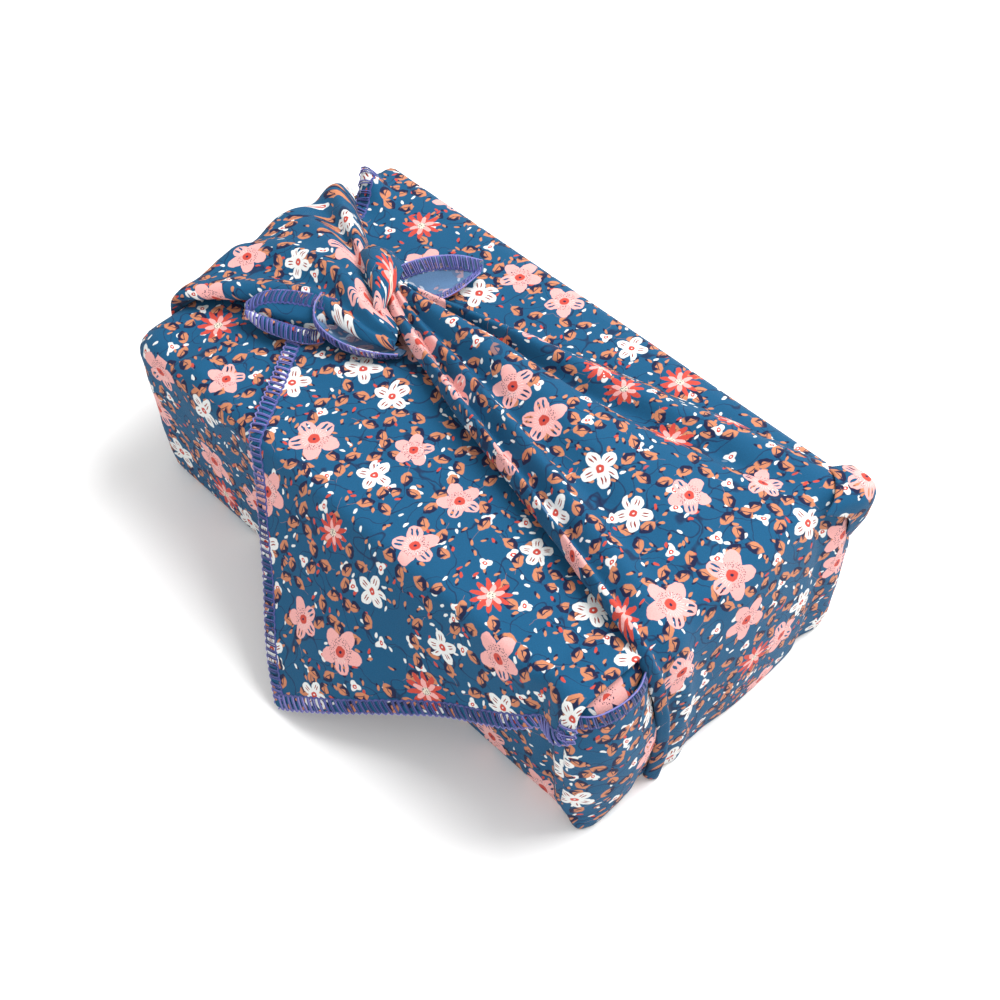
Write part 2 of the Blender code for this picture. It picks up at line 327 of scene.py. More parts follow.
# stations from the knot over the top and down the end wall; each fold has its y and z at them
fan = {
    "x": (-53, -43, -28, -5, 22, 50, 80, 101, 111, 117, 120.5, 122.5, 122, 120),
    "rows": 120,
    "cols": 96,
    "offset": (520.0, 260.0),
    # how far each fold sits in on the end wall, and how much it is lifted on the top
    "depth": {"tuck": (7.5, 0), "nose": (3.5, 0.6), "crest": (0, 2.0), "firstValley": (2.4, -1.6),
              "secondPanel": (0.3, 0.6), "secondValley": (2.4, -1.4), "thirdPanel": (0, 0.3),
              "ridge": (0.4, 0.8),
              "thirdValley": (2.2, -1.0), "farRidge": (0.2, 0.8), "farFoot": (4.0, 0)},
    "folds": [
        {"name": "tuck",
         "y": (10, 6, 2, -4, -10, -16, -24, -29, -30, -30, -29, -28, -28, -29),
         "z": (83, 81, 79, 77, 76.8, 76.8, 76.8, 76.8, 76, 71, 60, 40, 16, 1)},
        {"name": "nose",
         "y": (7, 1, -4, -10.5, -17, -23.5, -31, -36, -37.5, -38.5, -37, -35, -35, -36),
         "z": (86, 84, 82, 79.8, 79.3, 79, 78.6, 78.2, 77, 72, 61, 40, 16, 1)},
        {"name": "crest",
         "y": (8, 2.5, -2, -8.5, -15, -21.5, -29, -34, -35.5, -36.5, -35, -33, -33, -34),
         "z": (89, 88, 86.5, 85, 84.5, 84, 83, 81.6, 79.6, 74.5, 62.5, 41, 16.5, 1)},
        {"name": "firstValley",
         "y": (9, 5, 0.8, -5, -11.2, -18, -26, -31, -32.5, -33, -32, -30, -30, -31),
         "z": (88, 86, 84, 82, 81.3, 81, 80.8, 80, 78.5, 74, 62, 41, 16, 1)},
        {"name": "secondPanel",
         "y": (10, 6.5, 3.2, 0, -5, -11, -18, -23, -24.5, -25, -24, -24, -24, -24),
         "z": (89.5, 88, 86.8, 85.6, 85, 84.4, 83.2, 81.8, 79.8, 75, 63, 42, 17, 1)},
        {"name": "secondValley",
         "y": (10.5, 8, 5.8, 4.2, -0.5, -4.5, -10, -14, -15, -15, -15, -15, -15, -15),
         "z": (88.5, 86.5, 84.8, 83.4, 82.9, 82.3, 81.6, 80.7, 79, 75, 63, 42, 17, 1)},
        {"name": "thirdPanel",
         "y": (11, 10, 10.2, 11, 9.5, 8.5, 8, 8, 8, 8, 8, 8, 8, 8),
         "z": (90, 89.6, 89.2, 88.6, 87.6, 86.2, 84.2, 82, 80, 75.5, 64, 42, 17, 1)},
        {"name": "ridge",
         "y": (12, 12, 14, 16.8, 18.5, 21.5, 27, 32, 34, 35, 35, 34, 34, 34),
         "z": (89, 88.5, 87.6, 86.6, 85.6, 84.2, 82.6, 81, 79.5, 75.3, 64, 42, 17, 1)},
        {"name": "thirdValley",
         "y": (12.5, 14, 18, 21.5, 24.5, 29, 35.5, 41, 43, 44, 44, 43, 43, 43),
         "z": (87, 85, 81.5, 79.6, 79, 79, 79.2, 79, 78.5, 75, 63.5, 42, 17, 1)},
        {"name": "farRidge",
         "y": (13, 16, 20.5, 26.5, 32, 38, 45.5, 51, 53, 54, 54, 53, 53, 53),
         "z": (87.5, 86.2, 84.6, 83.6, 82.6, 82, 81, 80, 79, 75, 63, 42, 17, 1)},
        {"name": "farFoot",
         "y": (13.5, 18, 24, 32.5, 40, 47, 54, 58.5, 60, 61.5, 63, 63, 63, 63),
         "z": (84, 80, 77.6, 77, 76.8, 76.8, 76.8, 76.8, 76.5, 73.5, 62, 42, 17, 1)},
    ],
}


def buildFan():
    lines = []
    for fold in fan["folds"]:
        depth, lift = fan["depth"][fold["name"]]
        line = []
        for x, y, z in zip(fan["x"], fold["y"], fold["z"]):
            onTop, onEnd = ramp(x, -40, -10) * (1 - ramp(x, 95, 112)), ramp(x, 100, 116)
            line.append((x - depth * onEnd, y, z + lift * onTop))
        lines.append(line)
    points = loft(lines, fan["rows"], fan["cols"])
    normal = gridNormals(points)
    wave = 0.35 * softNoise(points, 20, 21) + 0.18 * softNoise(points, 9, 22)
    fade = ramp(points[..., 0], -40, 0)
    points = points + normal * (wave * fade)[..., None]
    points[..., 2] = np.maximum(points[..., 2], 0.5)
    uv = flatten(points, fan["cols"] // 2)
    uv = np.stack([uv[..., 1] + fan["offset"][0], uv[..., 0] + fan["offset"][1]], axis=-1)
    addGrid(points, uv, flip=True)


strand = {
    "rows": 90,
    "cols": 72,
    "offset": (700.0, 120.0),
    "lines": [
        # tucked under
        [(-115, -40, 1), (-116, -40, 35), (-116, -39, 64), (-112, -38, 73.5), (-103, -31, 76.8),
         (-92, -22, 77.2),
         (-81, -15, 78), (-70, -9, 80), (-57, -9, 80.5), (-44, -9, 80), (-34, -5, 79)],
        # lower fold, its nose
        [(-117, -46, 1), (-118.5, -46, 35), (-118.3, -45.5, 64), (-114.5, -44, 76), (-104, -36.5, 78.5),
         (-93, -27.5, 79.5), (-81, -20.5, 81.5), (-69, -14.5, 83), (-56, -14.5, 83.5),
         (-43, -13.5, 83), (-33, -8, 81)],
        # its crest
        [(-117.5, -43, 1), (-119.5, -43, 35), (-119.3, -42.5, 65), (-115, -41, 79),
         (-105, -33, 82), (-94, -24, 83.5),
         (-82, -16.5, 85), (-70, -11.5, 86.5), (-56.5, -12, 87), (-43.5, -11.5, 86), (-33.5, -6.5, 83)],
        # crease behind it
        [(-117, -34, 1), (-118.5, -34, 35), (-118.5, -33.5, 65), (-115, -32, 78.5), (-106, -23.5, 80.5),
         (-96, -15, 81.5), (-83, -10, 83), (-71, -7.5, 85), (-57, -9, 86.5), (-44, -9.5, 85.5),
         (-34, -5.5, 83)],
        # main panel
        [(-117.5, -20, 1), (-120, -20, 35), (-120, -19.5, 66), (-116, -18, 81), (-107, -9, 84.5),
         (-96, -4, 86.5),
         (-83, -1.5, 88.5), (-70, -1.5, 90), (-56.5, -5, 90.5), (-44.5, -7, 88.5), (-34.5, -4.5, 84.5)],
        # shallow dip at the end
        [(-117, -8, 1), (-118.5, -8, 35), (-118.6, -8, 66), (-114.5, -7.5, 79.5), (-106, -0.5, 84),
         (-95, 2.5, 86.5),
         (-82.5, 3, 88.5), (-69.5, 1.5, 90), (-56.5, -3, 90.5), (-45, -6, 88.5), (-35, -4, 84.5)],
        # second panel
        [(-117.5, 8, 1), (-120, 8, 35), (-120, 8, 67), (-115, 9, 83), (-105, 11, 86),
         (-94.5, 11, 87.5), (-82, 8.5, 89),
         (-69.5, 4.5, 90), (-57, -0.5, 90.5), (-45.5, -5, 88.5), (-35.5, -3.5, 84.5)],
        # valley before the last pleat
        [(-117, 21, 1), (-118.5, 21, 35), (-118.6, 21, 66), (-113.5, 22, 80.5),
         (-104.5, 20.5, 82.5), (-94, 17.5, 84),
         (-82, 13.5, 85.5), (-70, 8.5, 87.5), (-58, 2.5, 89), (-46, -3, 88), (-36, -3, 84.5)],
        # last pleat
        [(-117.5, 30, 1), (-119.5, 30, 35), (-119.6, 30, 66), (-113.5, 32, 83.5),
         (-105, 28.5, 86.5), (-94.5, 23.5, 88),
         (-82.5, 18, 89), (-71, 11.5, 90), (-58.5, 5, 90), (-46.5, -1.5, 88.5), (-36.5, -2, 84.5)],
        # far foot
        [(-116.5, 40, 1), (-118, 40, 35), (-118, 40, 65), (-113, 40, 77), (-105, 35.5, 78),
         (-94.5, 29.5, 78.5),
         (-83, 23, 79.5), (-72, 16.5, 82), (-59, 9, 86), (-47, 1, 86.5), (-37, -1, 83)],
        [(-115, 37, 1), (-116, 37, 35), (-116, 37, 64), (-111, 36, 75), (-103, 31, 76.8),
         (-93, 25, 77), (-82, 19, 78),
         (-71, 13, 80), (-58, 7, 83), (-46, 1, 84), (-36.5, -2, 82)],
    ],
}


def buildStrand():
    points = loft(strand["lines"], strand["rows"], strand["cols"])
    normal = gridNormals(points)
    wave = 0.35 * softNoise(points, 18, 31) + 0.15 * softNoise(points, 8, 32)
    points = points + normal * wave[..., None]
    points[..., 2] = np.maximum(points[..., 2], 0.5)
    uv = flatten(points, strand["cols"] // 2)
    uv = np.stack([uv[..., 1] + strand["offset"][0], uv[..., 0] + strand["offset"][1]], axis=-1)
    addGrid(points, uv, flip=True)


knotLoop = [
    [(-74, 17, 79), (-74.5, 14.5, 86), (-70.5, 10.5, 90.5), (-62.5, 6, 92.5), (-55, 2, 92.5),
     (-49, -2, 90.5),
     (-46, -4.5, 86.5)],
    [(-71, 20, 79), (-71.5, 16, 89), (-67, 11.8, 93.8), (-60, 7, 95.4), (-53.5, 3, 94.5),
     (-48.3, -1.2, 91.7),
     (-45.7, -4, 87)],
    [(-67, 22, 79), (-67, 18, 90), (-62.5, 13.2, 94.8), (-57, 8.5, 95.8), (-52, 4.2, 94.6),
     (-47.6, -0.4, 91.6),
     (-45.4, -3.4, 87)],
    [(-62, 24, 79), (-61.5, 19.5, 88.5), (-57.5, 15, 93), (-53, 10.3, 94), (-49.8, 5.6, 93),
     (-46.8, 0.8, 90.6),
     (-45, -2.8, 87)],
    [(-57, 24, 79), (-57, 19.5, 84), (-54, 15.5, 88), (-50.5, 11, 89.5), (-48, 6, 89.5),
     (-46, 1.5, 88.5),
     (-44.6, -2.2, 86)],
]

backTail = [
    [(-58, 12, 85), (-57.5, 18.5, 87.5), (-53.5, 27.5, 88), (-47, 36.5, 87), (-40, 43, 84.5)],
    [(-57, 12, 82.5), (-55.8, 18, 83), (-51.5, 26.5, 83), (-45.5, 35, 83), (-39.6, 42.5, 83)],
    [(-55, 12, 80.5), (-52.5, 17, 79.3), (-48, 24, 78.8), (-43.4, 32.5, 79.2), (-39, 41.8, 81.3)],
    [(-52.5, 11, 81), (-49, 15.5, 78.8), (-44, 21.5, 78.3), (-41, 30, 78.8), (-38.5, 41, 81)],
    [(-51, 10, 83), (-46.5, 14, 80.5), (-40.5, 19.5, 80.5), (-38, 28.5, 81), (-38, 40, 82)],
]

frontTail = [
    [(-62, -8, 86), (-70, -12, 86), (-79, -17.5, 86), (-86, -23.5, 84.8), (-89, -30.5, 82.2)],
    [(-60.5, -11, 85.5), (-68, -15.5, 85), (-76.8, -21, 84.6), (-84.2, -26.4, 83.6),
     (-88.6, -31, 81.8)],
    [(-58.5, -14, 83), (-64.5, -18.3, 82.2), (-73.2, -23.8, 82.3), (-81.8, -28.3, 82.3),
     (-88, -31.5, 81.4)],
    [(-58, -14.5, 79.5), (-63.5, -18.8, 78), (-72.2, -24.5, 78.3), (-81, -29.2, 79.5),
     (-87.5, -31.8, 80.8)],
    [(-57.5, -18, 80.5), (-62.5, -22, 79.8), (-70.3, -26.5, 80.8), (-79.3, -30.4, 81.3),
     (-87, -32.3, 81)],
    [(-57, -20.5, 77.5), (-61, -25.3, 77.2), (-69, -29.3, 77.4), (-78.2, -32.7, 78.3),
     (-86.3, -33.2, 80)],
]

collar = [
    [(-64, -5, 84), (-61, -9, 83), (-56, -11.5, 81.5), (-50, -12, 80), (-43, -9, 79.5),
     (-36, -6, 79), (-31, -4, 79)],
    [(-66, -8, 82.5), (-63, -12, 81), (-57, -15, 80), (-50, -15.5, 79), (-42.5, -12.5, 78.6),
     (-36, -9, 78.5),
     (-30.5, -5.5, 79)],
    [(-68.5, -10, 83.5), (-65.8, -15.5, 82.5), (-59.8, -19.5, 81.5), (-51, -20, 80.5), (-42, -17, 79.8),
     (-35.5, -12.5, 79.3), (-30.5, -7.5, 79.3)],
    [(-68, -10.5, 87.5), (-65.5, -16, 87.3), (-59.8, -20.4, 86.3), (-51, -21, 85), (-41.5, -18, 83.6),
     (-35, -13.3, 82.3), (-30, -8, 81)],
]


# tucked corners: at the back of the right end, and the ear in front
backCorner = [
    [(108, 58, 77.5), (112, 63, 77), (114, 66.5, 74), (115, 67, 60), (115, 67, 45)],
    [(113, 56, 78.5), (119, 61, 78), (122, 66, 74), (121, 68, 62), (118, 67, 47)],
    [(118, 50, 77), (122.5, 55, 76), (125, 60, 72), (124, 62, 62), (120, 62, 48)],
    [(119.5, 44, 74.5), (121, 48, 72), (122.5, 53, 68), (122, 56, 60), (119, 58, 48)],
]

frontEar = [
    [(110, -64, 69), (109, -67, 52), (107.5, -67, 30), (106, -67, 12), (112, -66.5, 1)],
    [(112, -65, 71), (113, -68.5, 52), (113, -68.5, 30), (111, -68, 12), (114, -66.5, 1)],
    [(117, -61, 72), (120, -62, 52), (120, -62, 30), (117.5, -63, 12), (115.5, -65, 1)],
    [(119.5, -53, 72), (122.5, -53, 52), (122.5, -52, 30), (120, -56, 12), (117, -60, 1)],
    [(119.5, -45, 72), (121, -43, 52), (121, -39, 30), (119.5, -46, 12), (117, -50, 1)],
    [(116, -38, 70), (116.5, -35, 50), (116.5, -31, 30), (116, -38, 12), (116, -42, 1)],
]


def buildKnot():
    for lines, rows, cols, shift, flip in ((knotLoop, 60, 40, (90, 300), True),
                                           (backTail, 50, 34, (140, 340), True),
                                           (frontTail, 50, 40, (200, 380), True),
                                           (collar, 60, 30, (260, 420), True),
                                           (backCorner, 26, 22, (330, 90), False),
                                           (frontEar, 40, 36, (410, 70), True)):
        points = loft(lines, rows, cols)
        normal = gridNormals(points)
        points = points + normal * (0.2 * softNoise(points, 9, 41))[..., None]
        uv = flatten(points, cols // 2) + np.array(shift)
        addGrid(points, uv, flip=flip)


threads = {
    "radius": 0.26,
    "band": 5.2,             # from the cut edge to the needle line
    "pitch": 2.5,
    "tailPitch": 1.9,
    "lean": 0.9,             # how far a rung slants along the hem
    "second": 0.62,          # the darker thread beside each rung
    "edgeLoop": 0.45,
    "needleWave": 0.25,
    "rungLift": 0.35,
    "rungArch": 0.3,
}
threadMesh = {"verts": [], "faces": [], "tone": [], "count": 0}


def addTube(path, radius, tone, sides=5):
    path = np.asarray(path, float)
    tangent = np.gradient(path, axis=0)
    tangent /= np.maximum(np.linalg.norm(tangent, axis=1, keepdims=True), 1e-9)
    helper = np.where(np.abs(tangent[:, 2:3]) < 0.9, np.array([[0, 0, 1.0]]), np.array([[1.0, 0, 0]]))
    sideA = np.cross(tangent, helper)
    sideA /= np.maximum(np.linalg.norm(sideA, axis=1, keepdims=True), 1e-9)
    sideB = np.cross(tangent, sideA)
    angle = np.arange(sides) / sides * 2 * math.pi
    ring = sideA[:, None] * np.cos(angle)[None, :, None] + sideB[:, None] * np.sin(angle)[None, :, None]
    points = path[:, None] + ring * radius
    n = len(path)
    index = threadMesh["count"] + np.arange(n * sides).reshape(n, sides)
    a, b = index[:-1], np.roll(index, -1, axis=1)[:-1]
    c, d = np.roll(index, -1, axis=1)[1:], index[1:]
    quads = np.stack([a, b, c, d], axis=-1).reshape(-1, 4)
    threadMesh["verts"].append(points.reshape(-1, 3))
    threadMesh["faces"] += quads.tolist()
    threadMesh["faces"] += [index[0][::-1].tolist(), index[-1].tolist()]
    threadMesh["tone"].append(np.full(n * sides, tone))
    threadMesh["count"] += n * sides


# Threads along a hem. place(s, d) gives surface points d millimetres in from the edge, and normals.
def overlock(place, length, seed, side=1.0, pitch=None):
    draw = np.random.default_rng(seed)
    pitch = pitch or threads["pitch"]
    band = threads["band"]
    radius = threads["radius"]
    count = int(length / pitch)
    fine = np.linspace(0, length, count * 4 + 1)
    tone = 0.5 + 0.35 * np.sin(fine / 23 + seed) + 0.15 * np.sin(fine / 7 + 2 * seed)
    # needle line inside the band
    for inset, lift, thick in ((band, 0.3, 0.9), (band * 0.93, 0.25, 0.8)):
        wobble = threads["needleWave"] * np.sin(fine * 2 * math.pi / pitch)
        p, n = place(fine, np.full_like(fine, inset) + wobble)
        addTube(p + n * (lift + radius * 0.5) * side, radius * thick, 0.25)
    # looped outer edge
    loops = threads["edgeLoop"] * np.sin(fine * 2 * math.pi / pitch)
    p, n = place(fine, -0.35 + loops)
    addTube(p + n * 0.15 * side, radius * 1.15, 0.75)
    # rungs
    for k in range(count):
        s0 = (k + 0.5) * pitch + draw.normal() * 0.12
        lean = threads["lean"] + draw.normal() * 0.25
        d = np.linspace(-0.2, band * 0.97, 7)
        for shift, dark in ((0.0, 0.0), (threads["second"] + draw.normal() * 0.1, -0.35)):
            s = s0 + shift + lean * (d / band)
            s = np.clip(s, 0, length)
            p, n = place(s, d)
            arch = threads["rungLift"] + threads["rungArch"] * np.sin(np.clip(d / band, 0, 1) * math.pi)
            shade = np.interp(s0, fine, tone) + dark + draw.normal() * 0.1
            addTube(p + n * (arch + radius * 0.3)[:, None] * side, radius * (0.95 + 0.2 * draw.random()),
                    float(np.clip(shade, 0, 1)), sides=4)


# Wraps a place function of two flat coordinates so that it gives normals too.
def surfaceSampler(function, step=0.4):
    def sample(x, b):
        p = function(x, b)
        px = function(x + step, b)
        pb = function(x, b + step)
        normal = np.cross(pb - p, px - p)
        normal /= np.maximum(np.linalg.norm(normal, axis=-1, keepdims=True), 1e-9)
        return p, normal
    return sample


# Reads a lofted surface anywhere by row and column number.
def gridSampler(points):
    normals = gridNormals(points)
    rows, cols = points.shape[:2]

    def read(values, r, c):
        r, c = np.clip(r, 0, rows - 1.001), np.clip(c, 0, cols - 1.001)
        i, j = r.astype(int), c.astype(int)
        fr, fc = (r - i)[:, None], (c - j)[:, None]
        return ((values[i, j] * (1 - fc) + values[i, j + 1] * fc) * (1 - fr)
                + (values[i + 1, j] * (1 - fc) + values[i + 1, j + 1] * fc) * fr)
    return lambda r, c: (read(points, r, c), read(normals, r, c))


def buildFlapHem():
    sampler = surfaceSampler(flapPlace)
    # both edges, each from where it comes into sight to the point
    for name, seed, outline, sign in (("left", 3, flapLeft, 1), ("right", 8, flapRight, -1)):
        b = np.linspace(flap["hemStart"][name], flap["tip"], 400)
        x = outline(b)
        length = np.concatenate([[0], np.cumsum(np.hypot(np.diff(x), np.diff(b)))])
        tx, tb = np.gradient(x, length), np.gradient(b, length)

        def place(s, d, b=b, x=x, length=length, tx=tx, tb=tb, sign=sign):
            bx, xx = np.interp(s, length, b), np.interp(s, length, x)
            dx, db = np.interp(s, length, tx), np.interp(s, length, tb)
            return sampler(xx + db * d * sign, bx - dx * d * sign)
        overlock(place, length[-1] - 1.0, seed)
        print("flap hem", name, round(float(length[-1]), 1), "mm")


def buildTailHems():
    for lines, rows, cols, seed, side, sides in ((backTail, 50, 34, 13, 1.0, (0, 1)),
                                                 (frontTail, 50, 40, 17, -1.0, (0, 1)),
                                                 (collar, 60, 30, 19, -1.0, (1,)),
                                                 (frontEar, 60, 30, 23, 1.0, (0,))):
        points = loft(lines, rows, cols)
        if lines is frontEar:
            # its hem runs round the corner, along the top of the ear
            points = points.swapaxes(0, 1)
            rows, cols = points.shape[:2]
        read = gridSampler(points)
        for far in sides:
            edge = points[:, -1 if far else 0]
            length = np.concatenate([[0], np.cumsum(np.linalg.norm(np.diff(edge, axis=0), axis=1))])
            width = np.linalg.norm(np.diff(points, axis=1), axis=-1)
            reach = np.cumsum(width[:, ::-1] if far else width, axis=1)
            reach = np.concatenate([np.zeros((rows, 1)), reach], axis=1)

            def place(s, d, far=far, length=length, reach=reach):
                r = np.interp(s, length, np.arange(rows))
                i = np.clip(np.round(r).astype(int), 0, rows - 1)
                c = np.array([np.interp(max(dd, 0), reach[k], np.arange(cols)) for dd, k in zip(d, i)])
                c = (cols - 1 - c) if far else c
                p, n = read(r, c)
                return p, n
            overlock(place, length[-1] - 0.5, seed + far, side=side, pitch=threads["tailPitch"])


def placeObject(name, data):
    thing = bpy.data.objects.new(name, data)
    bpy.context.scene.collection.objects.link(thing)
    return thing


def makeCloth():
    verts = np.concatenate(cloth["verts"]) * mm
    faces = np.concatenate(cloth["faces"])
    uvs = np.concatenate(cloth["uvs"])
    mesh = bpy.data.meshes.new("furoshikiCloth")
    mesh.from_pydata(verts.tolist(), [], faces.tolist())
    layer = mesh.uv_layers.new(name="cloth")
    layer.data.foreach_set("uv", (uvs.reshape(-1, 2) * uvScale).ravel())
    mesh.shade_smooth()
    thing = placeObject("furoshikiCloth", mesh)
    solid = thing.modifiers.new("thickness", "SOLIDIFY")
    solid.thickness = clothThickness * mm
    solid.offset = 0
    solid.use_even_offset = False
    solid.material_offset = 1
    solid.material_offset_rim = 0
    return thing


def makeThreads():
    verts = np.concatenate(threadMesh["verts"]) * mm
    mesh = bpy.data.meshes.new("overlockThreads")
    mesh.from_pydata(verts.tolist(), [], threadMesh["faces"])
    tone = mesh.attributes.new("tone", "FLOAT", "POINT")
    tone.data.foreach_set("value", np.concatenate(threadMesh["tone"]))
    mesh.shade_smooth()
    thing = placeObject("overlockThreads", mesh)
    return thing


def srgb(r, g, b):
    return tuple((c / 255 / 12.92) if c / 255 <= 0.04045 else ((c / 255 + 0.055) / 1.055) ** 2.4
                 for c in (r, g, b)) + (1.0,)


class Nodes:
    def __init__(self, tree):
        self.tree = tree

    def add(self, kind, **settings):
        node = self.tree.nodes.new(kind)
        for key, value in settings.items():
            setattr(node, key, value)
        return node

    def plug(self, socket, value):
        if isinstance(value, bpy.types.NodeSocket):
            self.tree.links.new(value, socket)
        elif value is not None:
            socket.default_value = value

    def math(self, operation, a, b=None, c=None, clamp=False):
        node = self.add("ShaderNodeMath", operation=operation, use_clamp=clamp)
        for socket, value in zip(node.inputs, (a, b, c)):
            self.plug(socket, value)
        return node.outputs[0]

    def vector(self, operation, a, b=None, scale=None):
        node = self.add("ShaderNodeVectorMath", operation=operation)
        self.plug(node.inputs[0], a)
        self.plug(node.inputs[1], b)
        if scale is not None:
            self.plug(node.inputs["Scale"], scale)
        return node.outputs["Value"] if operation in ("LENGTH", "DOT_PRODUCT") else node.outputs[0]

    def mix(self, fac, a, b):
        node = self.add("ShaderNodeMix", data_type="RGBA")
        self.plug(node.inputs[0], fac)
        self.plug(node.inputs[6], a)
        self.plug(node.inputs[7], b)
        return node.outputs[2]

    # 1 where value is under edge, with a soft rim.
    def step(self, value, edge, soft=0.03):
        node = self.add("ShaderNodeMapRange", interpolation_type="LINEAR")
        self.plug(node.inputs["Value"], value)
        if isinstance(edge, bpy.types.NodeSocket):
            self.plug(node.inputs["From Min"], self.math("SUBTRACT", edge, soft))
            self.plug(node.inputs["From Max"], self.math("ADD", edge, soft))
        else:
            node.inputs["From Min"].default_value = edge - soft
            node.inputs["From Max"].default_value = edge + soft
        node.inputs["To Min"].default_value = 1
        node.inputs["To Max"].default_value = 0
        return node.outputs[0]

    def both(self, a, b):
        return self.math("MULTIPLY", a, b)


def newMaterial(name):
    material = bpy.data.materials.new(name)
    material.use_nodes = True
    return material, Nodes(material.node_tree), material.node_tree.nodes["Principled BSDF"]


def addBump(n, shader, height, strength, depth):
    bumpNode = n.add("ShaderNodeBump")
    bumpNode.inputs["Strength"].default_value = strength
    bumpNode.inputs["Distance"].default_value = depth
    n.plug(bumpNode.inputs["Height"], height)
    n.plug(shader.inputs["Normal"], bumpNode.outputs[0])


printPlan = {               # distances between motifs, in millimetres
    "wobble": 0.9,
    "stems": ((0.045, 3.1, 0.010), (0.06, 9.7, 0.011)),       # scale, shift and width
    "dashes": ((4.6, 0.4, 0), (5.3, 1.1, 51)),                # cell, turn and shift
    "buds": 16.5,
    "leaves": 14.5,
    "flowers": 26.0,
}

printColours = {
    "ground": srgb(10, 84, 124),
    "pink": srgb(242, 176, 172),
    "white": srgb(236, 238, 236),
    "coral": srgb(204, 74, 62),
    "tan": srgb(204, 132, 96),
    "navy": srgb(18, 28, 66),
    "cream": srgb(232, 220, 200),
    "brown": srgb(150, 58, 52),
}


# Nearest motif: offset from it, turned at random, with its random colour channels.
def cellPlace(n, vector, size, randomness, turn):
    rotate = n.add("ShaderNodeVectorRotate", rotation_type="Z_AXIS")
    n.plug(rotate.inputs["Vector"], vector)
    rotate.inputs["Angle"].default_value = turn
    cells = n.add("ShaderNodeTexVoronoi", voronoi_dimensions="2D", feature="F1")
    n.plug(cells.inputs["Vector"], rotate.outputs[0])
    cells.inputs["Scale"].default_value = 1 / size
    cells.inputs["Randomness"].default_value = randomness
    offset = n.vector("SUBTRACT", rotate.outputs[0], cells.outputs["Position"])
    chance = n.add("ShaderNodeSeparateColor")
    n.plug(chance.inputs[0], cells.outputs["Color"])
    spin = n.add("ShaderNodeVectorRotate", rotation_type="Z_AXIS")
    n.plug(spin.inputs["Vector"], offset)
    n.plug(spin.inputs["Angle"], n.math("MULTIPLY", chance.outputs[0], 6.283))
    split = n.add("ShaderNodeSeparateXYZ")
    n.plug(split.inputs[0], spin.outputs[0])
    x, y = split.outputs[0], split.outputs[1]
    radius = n.math("SQRT", n.math("ADD", n.math("MULTIPLY", x, x), n.math("MULTIPLY", y, y)))
    angle = n.math("ARCTAN2", y, x)
    return {"x": x, "y": y, "r": radius, "a": angle, "chance": chance.outputs}


# Folds the plane into one petal: x along the petal, y across it, and the petal's own number.
def petalFold(n, place, petals, shift=0.0):
    sector = 2 * math.pi / petals
    turned = n.math("ADD", place["a"], sector / 2 + shift + 12.566)
    number = n.math("FLOOR", n.math("DIVIDE", turned, sector))
    local = n.math("SUBTRACT", n.math("MODULO", turned, sector), sector / 2)
    x = n.math("MULTIPLY", place["r"], n.math("COSINE", local))
    y = n.math("MULTIPLY", place["r"], n.math("SINE", local))
    return x, y, number


def ellipse(n, x, y, cx, cy, rx, ry, soft=0.08):
    a = n.math("DIVIDE", n.math("SUBTRACT", x, cx), rx)
    b = n.math("DIVIDE", n.math("SUBTRACT", y, cy), ry)
    return n.step(n.math("ADD", n.math("MULTIPLY", a, a), n.math("MULTIPLY", b, b)), 1.0, soft)


# A random number for each petal of each flower.
def petalChance(n, number, chance, salt):
    noise = n.add("ShaderNodeTexWhiteNoise", noise_dimensions="2D")
    join = n.add("ShaderNodeCombineXYZ")
    n.plug(join.inputs[0], n.math("ADD", number, salt))
    n.plug(join.inputs[1], n.math("MULTIPLY", chance[1], 977.0))
    n.plug(noise.inputs["Vector"], join.outputs[0])
    return noise.outputs["Value"]


# thin stems: wandering contour lines, broken here and there
def stemLayer(n, p, colour):
    c = printColours
    for scale, seed, width in printPlan["stems"]:
        lines = n.add("ShaderNodeTexNoise", noise_dimensions="2D")
        moved = n.vector("ADD", p, (seed * 37, seed * 11, 0))
        n.plug(lines.inputs["Vector"], moved)
        lines.inputs["Scale"].default_value = scale
        lines.inputs["Detail"].default_value = 1.0
        near = n.math("ABSOLUTE", n.math("SUBTRACT", lines.outputs["Fac"], 0.5))
        colour = n.mix(n.math("MULTIPLY", n.step(near, width * 0.5, width * 0.35), 0.75), colour, c["navy"])
    return colour


# tiny dashes and dots
def dashLayer(n, p, colour):
    c = printColours
    for size, turn, seed in printPlan["dashes"]:
        moved = n.vector("ADD", p, (seed, seed * 2, 0))
        d = cellPlace(n, moved, size, 0.9, turn)
        shape = ellipse(n, d["x"], d["y"], 0, 0, 1.05, 0.5, 0.25)
        small = ellipse(n, d["x"], d["y"], 1.1, 0.5, 0.75, 0.45, 0.3)
        pick = d["chance"][1]
        tone = n.mix(n.step(pick, 0.72, 0.001), c["white"], c["tan"])
        tone = n.mix(n.step(pick, 0.2, 0.001), tone, c["coral"])
        keep = n.step(d["chance"][2], 0.5, 0.001)
        colour = n.mix(n.both(small, n.both(keep, n.step(pick, 0.75, 0.001))), colour, c["navy"])
        colour = n.mix(n.both(shape, keep), colour, tone)
    return colour


